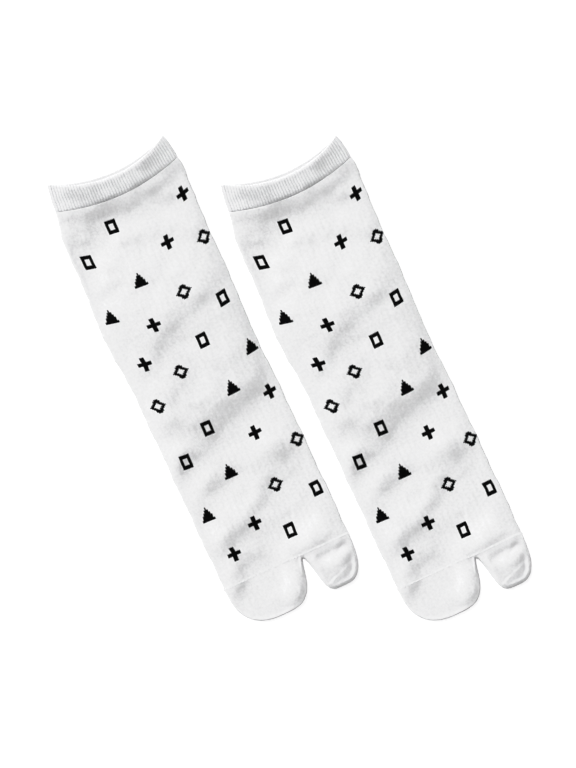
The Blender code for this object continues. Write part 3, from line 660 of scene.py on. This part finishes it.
def toes_piece():
    """Both toe pockets and the short tube that they grow out of, as one open skin."""
    outline = toe_outline()
    left, right = tube_edges(np.array([TOE_SEAM_Y]))
    parts = []
    for pocket, columns in (
        (FOUR_TOE_POCKET, FOUR_TOE_COLUMNS),
        (BIG_TOE_POCKET, BIG_TOE_COLUMNS),
    ):
        stations = pocket_stations(pocket, TOE_ROWS)[1:]
        root = np.linspace(TOE_SEAM_Y - SEAM_CLEARANCE, CLEFT_Y, ROOT_ROWS)
        y = np.concatenate([root, stations])[:, None]
        low_x, high_x = pocket_edges(pocket, y)
        at_seam = smooth_step((y - CLEFT_Y) / (TOE_SEAM_Y - CLEFT_Y))
        if pocket is FOUR_TOE_POCKET:
            low_x = low_x + (left[0] - low_x) * at_seam
        else:
            high_x = high_x + (right[0] - high_x) * at_seam
        share = edge_spaced(columns)[None, :]
        x = (low_x + high_x) / 2 + share * (high_x - low_x) / 2
        y = y + 0 * x
        wale, course = x / TOE_WALE, y / TOE_COURSE
        for points, flip in zip(toe_faces(x, y, outline), (True, False)):
            parts.append(grid_piece(points, wale, course, flip=flip))
    return joined(parts)


# ---- The linked seam of the toes: a row of small stitches right round ------------------
LINKS = 168
LINK_RINGS, LINK_SIDES = 7, 8
LINK_REACH, LINK_LEAN = 0.75, 0.3
LINK_HALF_WIDTH, LINK_HALF_HEIGHT = 0.36, 0.26
LINK_SINK, LINK_DIP = 0.13, 0.05  # into the cloth: all of a link, and its two ends more
LOWEST_LINK = 0.01  # above the surface that the socks lie on
SEAM_LOOP_COLUMNS = (160, 12, 160)


def seam_loop():
    """Evenly spaced points round the toe seam, with their tangents."""
    share = np.zeros((1, 1))
    loop = tube_points(share, share, columns_round(*SEAM_LOOP_COLUMNS))[0]
    steps = np.roll(loop, -1, axis=0) - loop
    length = np.concatenate([[0.0], np.cumsum(np.linalg.norm(steps, axis=1))])
    closed = np.concatenate([loop, loop[:1]])
    even = np.arange(LINKS) / LINKS * length[-1]
    points = np.stack([np.interp(even, length, closed[:, axis]) for axis in range(3)], -1)
    tangents = np.roll(points, -1, axis=0) - np.roll(points, 1, axis=0)
    return points, tangents / np.linalg.norm(tangents, axis=1)[:, None]


def linking_piece():
    """A small slanting stitch at each point of the seam, more than half sunk into the cloth."""
    points, tangents = seam_loop()
    along = np.array([0.0, 1.0, 0.0])
    out = np.cross(along, tangents)
    out /= np.linalg.norm(out, axis=1)[:, None]
    t = np.linspace(-1, 1, LINK_RINGS)[:, None, None]
    turn = np.linspace(0, 2 * np.pi, LINK_SIDES, endpoint=False)[None, :, None]
    thin = np.sqrt(np.maximum(1 - t**4, 0.0))
    counts = np.zeros((LINK_RINGS, LINK_SIDES + 1))
    links = []
    for point, tangent, normal in zip(points, tangents, out):
        middle = point + along * (LINK_REACH * t) + tangent * (LINK_LEAN * t)
        middle = middle - normal * (LINK_SINK + LINK_DIP * t * t)
        wide = tangent * (LINK_HALF_WIDTH * thin * np.cos(turn))
        high = normal * (LINK_HALF_HEIGHT * thin * np.sin(turn))
        link = middle + wide + high
        link[..., 2] = np.maximum(link[..., 2], LOWEST_LINK)
        links.append(grid_piece(link, counts, counts, wrap_columns=True, flip=True))
    return joined(links)


# ---- The heel pocket, folded flat under the sole --------------------------------------
HEEL_ROWS, HEEL_COLUMNS = 36, 64
HEEL_EDGE_STEPS = 16
HEEL_ROLL = 0.75
HEEL_END_THIN, HEEL_END_REACH = 0.6, 1.2  # off its top and bottom, over this last stretch
LEAST_HEEL = 0.1
HEEL_WALES_ROUND = 128


def heel_top(x, y):
    """The folded pocket fills the room under the sole, up to its two layers."""
    return np.minimum(HEEL_THICKNESS, sole_lift(x, y) - SEAM_GAP)


def heel_piece():
    """One soft slab, with the two layers of the pocket rolled at its edges."""
    along = np.sin(np.linspace(0, np.pi / 2, HEEL_ROWS + 1))[:, None]
    y = HEEL_ROOT_Y + along * (HEEL_FREE_Y - HEEL_ROOT_Y)
    half = HEEL_HALF_WIDTH - HEEL_TAPER * along**HEEL_ROUNDNESS
    share = edge_spaced(HEEL_COLUMNS)[None, :]
    x = share * half
    y = y + 0 * x
    thin = HEEL_END_THIN * smooth_step((y - HEEL_FREE_Y + HEEL_END_REACH) / HEEL_END_REACH)
    upper = np.maximum(heel_top(x, y) - thin, thin + LEAST_HEEL)
    top, under = np.stack([x, y, upper], -1), np.stack([x, y, thin], -1)
    up = np.linspace(0, 1, HEEL_EDGE_STEPS + 1)[1:-1][None, :]
    rolls = HEEL_ROLL * np.sqrt(np.abs(np.sin(2 * np.pi * up)))
    sides = []
    for column in (-1, 0):
        edge_x, edge_y, edge_top = (np.expand_dims(grid[:, column], 1) for grid in (x, y, upper))
        low = np.expand_dims(thin[:, column], 1)
        out = rolls if column == -1 else -rolls
        z = edge_top + (low - edge_top) * (up if column == -1 else 1 - up)
        sides.append(np.stack([edge_x + out, edge_y + 0 * out, z], -1))
    ring = np.concatenate([top, sides[0], under[:, ::-1], sides[1]], 1)
    wale = np.tile(count_round(ring[0], HEEL_WALES_ROUND), (HEEL_ROWS + 1, 1))
    course = np.broadcast_to(ring[:, :1, 1], wale.shape) / COURSE_PITCH
    return grid_piece(ring, wale, course, wrap_columns=True, flip=True)


def heel_slab():
    """The heel's mesh, with its two ends closed."""
    mesh = mesh_of("heel", heel_piece())
    bm = bmesh.new()
    bm.from_mesh(mesh)
    bmesh.ops.holes_fill(bm, edges=[edge for edge in bm.edges if edge.is_boundary])
    bm.to_mesh(mesh)
    bm.free()
    mesh.shade_smooth()
    return mesh


# ---- Materials ----------------------------------------------------------------------
# The cuff's knit is painted greyer than the leg's, as shade in the gaps between its ribs.
WHITE_KNIT, CUFF_SHADED_KNIT = (0.765, 0.765, 0.77), (0.705, 0.705, 0.713)
KNIT_ROUGHNESS, KNIT_SPECULAR = 0.92, 0.05
SHEEN_WEIGHT, SHEEN_ROUGHNESS = 0.01, 0.6
STITCH_RELIEF, TOE_STITCH_RELIEF = 0.16, 0.14
STITCH_SLANT = 0.9  # how many courses the two legs of a stitch climb to its sides
YARN_SHARPNESS, STRAND_SHARPNESS = 0.7, 0.6
WOBBLE_SCALE, WOBBLE_STITCHES = 140.0, 0.5  # noise scales count the waves in a metre
FIBRE_SCALE, FIBRE_DETAIL, FIBRE_RELIEF = 2600.0, 3.0, 0.25  # reliefs are shares of a stitch's
# The grain's colour is partly uneven yarn and partly painted shade, darker where its relief is low.
GRAIN_SCALE, GRAIN_RELIEF, GRAIN_TONE_AND_SHADE = 620.0, 0.6, 0.32
SLACK_SCALE, SLACK_RELIEF, SLACK_WALES = 90.0, 0.5, 4  # every fourth wale stands proud in places
PATCH_SCALE, PATCH_TONE = 45.0, 0.05
# Painted shade between the stitches: the cloth is darker where their relief is low.
BASE_TONE, STITCH_GAP_SHADE = 0.92, 0.10
VALLEY_SHADE, VALLEY_SHARPNESS = 0.08, 2.0  # painted shade: the cuff is darker between its ribs


class Field:
    """A number that varies over a surface; arithmetic on it adds Math nodes to its tree."""

    def __init__(self, tree, socket):
        self.tree = tree
        self.socket = socket

    def math(self, operation, *others):
        node = self.tree.nodes.new("ShaderNodeMath")
        node.operation = operation
        for number, value in enumerate((self, *others)):
            if isinstance(value, Field):
                self.tree.links.new(value.socket, node.inputs[number])
            else:
                node.inputs[number].default_value = value
        return Field(self.tree, node.outputs[0])

    def __add__(self, other):
        return self.math("ADD", other)

    def __sub__(self, other):
        return self.math("SUBTRACT", other)

    def __mul__(self, other):
        return self.math("MULTIPLY", other)

    def floor(self):
        return self.math("FLOOR")

    def fraction(self):
        return self.math("FRACT")

    def size(self):
        return self.math("ABSOLUTE")

    def sine(self):
        return self.math("SINE")

    def power(self, exponent):
        return self.math("POWER", exponent)

    def below(self, limit):
        return self.math("LESS_THAN", limit)

    def both(self, other):
        return self.math("MINIMUM", other)

    def either(self, other):
        return self.math("MAXIMUM", other)

    def remainder(self, step):
        return self - (self * (1 / step)).floor() * step


def noise(tree, vector, scale, detail=2.0):
    """Smooth noise from 0 to 1 over a vector socket."""
    node = tree.nodes.new("ShaderNodeTexNoise")
    node.inputs["Scale"].default_value = scale
    node.inputs["Detail"].default_value = detail
    tree.links.new(vector, node.inputs["Vector"])
    return Field(tree, node.outputs["Fac"])


# Motifs, in stitches: wales across and courses along.
MOTIF_WALES, MOTIF_COURSES = 23, 40  # the half-drop repeat
SHIFT_WALES, SHIFT_COURSES = 7, 11  # the range of each motif's shift in its repeat
SEAM_CLEAR_COURSES = 9  # a motif's middle stays this far from both seams
COURSES_LONG = (CUFF_SEAM_DIP[1] - TOE_SEAM_Y) / COURSE_PITCH
MOTIF_HALF_HEIGHT = 5.5
CROSS_ARM, CROSS_HALF_WIDTH = 1.5, 4.5
LOZENGE_HALF_WIDTH, LOZENGE_HOLE, LOZENGE_SLANT = 5.1, 2.2, 0.75
BOX_HALF_WIDTH, BOX_HOLE_HALF_WIDTH, BOX_HOLE_HALF_HEIGHT = 3.5, 1.5, 2.5
TRIANGLE_HALF_WIDTH, TRIANGLE_SLANT = 2.6, 0.42
KINDS_A_ROW = 3  # how far the order of the motifs moves on from row to row
MOTIF_BLACK = (0.001, 0.001, 0.0012)


def motif_shapes(i, j):
    """Masks of the four motifs, i wales beside and j courses above their middle."""
    up = j.size()
    in_height = up.below(MOTIF_HALF_HEIGHT)
    upright = i.below(CROSS_ARM).both(in_height)
    cross = upright.either(i.below(CROSS_HALF_WIDTH).both(up.below(CROSS_ARM)))
    span = i + up * LOZENGE_SLANT
    lozenge = span.below(LOZENGE_HALF_WIDTH).both(in_height) - span.below(LOZENGE_HOLE)
    hole = i.below(BOX_HOLE_HALF_WIDTH).both(up.below(BOX_HOLE_HALF_HEIGHT))
    box = i.below(BOX_HALF_WIDTH).both(in_height) - hole
    triangle = (i + j * TRIANGLE_SLANT).below(TRIANGLE_HALF_WIDTH).both(in_height)
    return cross, lozenge, box, triangle


def random_pair(tree, column, row):
    """Two numbers from 0 to 1 that differ from cell to cell of the motifs' repeat."""
    cell = tree.nodes.new("ShaderNodeCombineXYZ")
    tree.links.new(column.socket, cell.inputs["X"])
    tree.links.new(row.socket, cell.inputs["Y"])
    white_noise = tree.nodes.new("ShaderNodeTexWhiteNoise")
    white_noise.noise_dimensions = "2D"
    tree.links.new(cell.outputs["Vector"], white_noise.inputs["Vector"])
    parts = tree.nodes.new("ShaderNodeSeparateXYZ")
    tree.links.new(white_noise.outputs["Color"], parts.inputs["Vector"])
    return Field(tree, parts.outputs["X"]), Field(tree, parts.outputs["Y"])


def motif_mask(tree, wale, course):
    """1 on the stitches of small plain motifs, set out in half-drop columns."""
    column = (wale * (1 / MOTIF_WALES)).floor()
    drop = column.remainder(2) * (MOTIF_COURSES / 2)
    dropped = course + drop
    row = (dropped * (1 / MOTIF_COURSES)).floor()
    random_wale, random_course = random_pair(tree, column, row)
    shift_wale = (random_wale * SHIFT_WALES - SHIFT_WALES // 2).floor()
    shift_course = (random_course * SHIFT_COURSES - SHIFT_COURSES // 2).floor()
    i = (wale.floor() - column * MOTIF_WALES - MOTIF_WALES // 2 - shift_wale).size()
    middle = row * MOTIF_COURSES + shift_course + MOTIF_COURSES // 2
    shapes = motif_shapes(i, dropped.floor() - middle)
    kind = (column + row * KINDS_A_ROW).remainder(len(shapes))
    mask = None
    for number, shape in enumerate(shapes):
        chosen = (kind - number).size().below(0.5) * shape
        mask = chosen if mask is None else mask.either(chosen)
    from_middle = (middle - drop - COURSES_LONG / 2).size()
    return mask * from_middle.below(COURSES_LONG / 2 - SEAM_CLEAR_COURSES)


def mixed(tree, blend, factor, first, second):
    """The colour from a Mix node; each input is a number, a colour or another's socket."""
    mix = tree.nodes.new("ShaderNodeMix")
    mix.data_type = "RGBA"
    mix.blend_type = blend
    for name, value in (("Factor", factor), ("A", first), ("B", second)):
        if isinstance(value, bpy.types.NodeSocket):
            tree.links.new(value, mix.inputs[name])
        else:
            mix.inputs[name].default_value = value
    return mix.outputs["Result"]


def knit_shader(material):
    """The shader of matt cotton cloth."""
    material.use_nodes = True
    shader = material.node_tree.nodes["Principled BSDF"]
    shader.inputs["Roughness"].default_value = KNIT_ROUGHNESS
    shader.inputs["Specular IOR Level"].default_value = KNIT_SPECULAR
    shader.inputs["Sheen Weight"].default_value = SHEEN_WEIGHT
    shader.inputs["Sheen Roughness"].default_value = SHEEN_ROUGHNESS
    return shader


def stitch_counts(tree, where):
    """Wale and course at each point of the cloth, which wander a little."""
    place = tree.nodes.new("ShaderNodeUVMap")
    place.uv_map = "stitches"
    counts = tree.nodes.new("ShaderNodeSeparateXYZ")
    tree.links.new(place.outputs["UV"], counts.inputs["Vector"])
    wobble = (noise(tree, where, WOBBLE_SCALE) - 0.5) * WOBBLE_STITCHES
    return Field(tree, counts.outputs["X"]) + wobble, Field(tree, counts.outputs["Y"]) + wobble


def add_relief(tree, shader, height, relief):
    """Raises the cloth's surface by up to a relief in millimetres, for light only."""
    bump = tree.nodes.new("ShaderNodeBump")
    bump.inputs["Distance"].default_value = relief * MM
    bump.inputs["Strength"].default_value = 1.0
    tree.links.new(height.socket, bump.inputs["Height"])
    tree.links.new(bump.outputs["Normal"], shader.inputs["Normal"])


def knit_material(name, colour, relief, ribbed=False, motifs=False):
    """Knitted cloth: stitches in relief, a little uneven in colour, with painted shade between its
    stitches, in the low places of its grain and, when ribbed, between its ribs; with or without
    motifs.
    """
    material = bpy.data.materials.new(name)
    shader = knit_shader(material)
    tree = material.node_tree
    where = tree.nodes.new("ShaderNodeTexCoord").outputs["Object"]
    wale, course = stitch_counts(tree, where)
    leg = (wale.fraction() - 0.5).size()
    slanted = course + leg * STITCH_SLANT
    yarn = (slanted.fraction() * math.pi).sine()
    strand = (leg * (2 * math.pi)).sine()
    stitch = yarn.power(YARN_SHARPNESS) * strand.power(STRAND_SHARPNESS)
    fibre = noise(tree, where, FIBRE_SCALE, FIBRE_DETAIL)
    grain = noise(tree, where, GRAIN_SCALE) - 0.5
    height = stitch + fibre * FIBRE_RELIEF + grain * GRAIN_RELIEF
    if not ribbed:
        slack = noise(tree, where, SLACK_SCALE) * SLACK_RELIEF
        height = height + (wale * (2 * math.pi / SLACK_WALES)).sine() * slack
    add_relief(tree, shader, height, relief)
    patches = noise(tree, where, PATCH_SCALE) - 0.5
    # painted shade between the stitches and in the grain's low places, with patches of uneven
    # colour
    shaded_tone = stitch * STITCH_GAP_SHADE + patches * PATCH_TONE + grain * GRAIN_TONE_AND_SHADE + BASE_TONE
    if ribbed:
        # painted shade in the valleys between the cuff's ribs
        valley = (wale * math.pi).sine().size()
        shaded_tone = shaded_tone - valley.power(VALLEY_SHARPNESS) * VALLEY_SHADE
    result = mixed(tree, "MULTIPLY", 1.0, (*colour, 1.0), shaded_tone.socket)
    if motifs:
        mask = motif_mask(tree, wale, slanted)
        result = mixed(tree, "MIX", mask.socket, result, (*MOTIF_BLACK, 1.0))
    tree.links.new(result, shader.inputs["Base Color"])
    return material


# ---- The stage ----------------------------------------------------------------------
def make_camera():
    data = bpy.data.cameras.new("camera")
    half_height = IMAGE_HEIGHT * MM_PER_PIXEL / 2
    data.lens = data.sensor_width / 2 * CAMERA_HEIGHT / half_height
    camera = bpy.data.objects.new("camera", data)
    camera.location = (VIEW_CENTRE[0] * MM, VIEW_CENTRE[1] * MM, CAMERA_HEIGHT * MM)
    camera.rotation_euler = (0.0, 0.0, math.radians(-SOCK_TILT))
    bpy.context.scene.collection.objects.link(camera)
    bpy.context.scene.camera = camera


def in_picture(right, up, out):
    """A direction in the part's frame from one given as the camera sees it."""
    turn = math.radians(-SOCK_TILT)
    x = right * math.cos(turn) - up * math.sin(turn)
    y = right * math.sin(turn) + up * math.cos(turn)
    return Vector((x, y, out)).normalized()


def soft_sun(name, aim, strength, spread):
    """An even light from one side, as soft as its spread in degrees."""
    data = bpy.data.lights.new(name, "SUN")
    data.energy = strength
    data.angle = math.radians(spread)
    light = bpy.data.objects.new(name, data)
    light.location = aim * SUN_DISTANCE
    light.rotation_euler = aim.to_track_quat("Z", "Y").to_euler()
    bpy.context.scene.collection.objects.link(light)


def set_tone_curve(view):
    """A film-like curve: the cloth's highlights are held back, and the ground goes white."""
    view.use_curve_mapping = True
    curves = view.curve_mapping
    white = TONE_CURVE[-1][0]
    curves.white_level = (white, white, white)
    combined = curves.curves[3]  # after red, green and blue
    combined.points[0].location = (0.0, 0.0)
    combined.points[1].location = (1.0, 1.0)
    for light, shown in TONE_CURVE[1:-1]:
        combined.points.new(light / white, shown)
    curves.update()


def make_world():
    """An even white surrounding that fills the shadows."""
    world = bpy.data.worlds.new("studio")
    world.use_nodes = True
    background = world.node_tree.nodes["Background"]
    background.inputs["Color"].default_value = WHITE
    background.inputs["Strength"].default_value = FILL_STRENGTH
    bpy.context.scene.world = world


def pale_paper():
    """The floor's material, which glows a little."""
    material = bpy.data.materials.new("pale_paper")
    material.use_nodes = True
    shader = material.node_tree.nodes["Principled BSDF"]
    shader.inputs["Base Color"].default_value = WHITE
    shader.inputs["Roughness"].default_value = FLOOR_ROUGHNESS
    shader.inputs["Specular IOR Level"].default_value = FLOOR_SPECULAR
    shader.inputs["Emission Color"].default_value = WHITE
    shader.inputs["Emission Strength"].default_value = FLOOR_GLOW
    return material


def make_floor():
    mesh = bpy.data.meshes.new("floor")
    far = FLOOR_REACH
    corners = [(-far, -far, 0), (far, -far, 0), (far, far, 0), (-far, far, 0)]
    mesh.from_pydata(corners, [], [(0, 1, 2, 3)])
    mesh.materials.append(pale_paper())
    floor = bpy.data.objects.new("floor", mesh)
    floor.location.z = -FLOOR_DROP * MM
    bpy.context.scene.collection.objects.link(floor)


def make_stage():
    view = bpy.context.scene.view_settings
    view.view_transform = "Standard"
    set_tone_curve(view)
    make_world()
    soft_sun("key", in_picture(*KEY_FROM), KEY_STRENGTH, KEY_SPREAD)
    make_floor()


def sock_origin(side):
    """Where a sock's own frame has its origin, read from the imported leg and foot."""
    low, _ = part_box(f"{side}_leg_and_foot")
    return Vector((low.x - SOLE_CORNER[0] * MM, low.y - SOLE_CORNER[1] * MM, 0.0))


def place(side, name, mesh, material, node):
    """A copy of a mesh on one sock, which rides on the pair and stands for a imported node."""
    mesh = mesh.copy()
    mesh.name = f"{side}_{name}"
    mesh.materials.clear()
    mesh.materials.append(material)
    piece = bpy.data.objects.new(f"{side}_{name}", mesh)
    piece.location = sock_origin(side)
    bpy.context.scene.collection.objects.link(piece)
    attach(piece, "root")
    if node:
        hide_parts(f"{side}_{node}")
    return piece


def dress():
    """Both socks, from one mesh and one material for each kind of piece."""
    leg_knit = knit_material("leg_knit_cloth", WHITE_KNIT, STITCH_RELIEF, motifs=True)
    cuff_knit = knit_material("cuff_knit_cloth", CUFF_SHADED_KNIT, STITCH_RELIEF, ribbed=True)
    toe_knit = knit_material("toe_knit_cloth", WHITE_KNIT, TOE_STITCH_RELIEF)
    heel_knit = knit_material("heel_knit_cloth", WHITE_KNIT, STITCH_RELIEF)
    leg_mesh = mesh_of("leg_and_foot", leg_and_foot_piece())
    cuff_mesh = mesh_of("cuff", cuff_piece())
    toe_mesh = mesh_of("toes", toes_piece(), weld=WELD)
    link_mesh = mesh_of("linking", linking_piece(), weld=WELD)
    heel_mesh = heel_slab()
    for side in SIDES:
        leg = place(side, "leg_and_foot_cloth", leg_mesh, leg_knit, "leg_and_foot")
        cuff = place(side, "cuff_cloth", cuff_mesh, cuff_knit, "cuff")
        toes = place(side, "toes_cloth", toe_mesh, toe_knit, "toes")
        links = place(side, "toe_linking", link_mesh, toe_knit, None)
        heel = place(side, "heel_cloth", heel_mesh, heel_knit, "heel")
        wall = toes.modifiers.new("wall", "SOLIDIFY")  # the pockets' cloth, inwards
        wall.thickness = TOE_WALL * MM
        wall.offset = -1.0


make_camera()
make_stage()
dress()
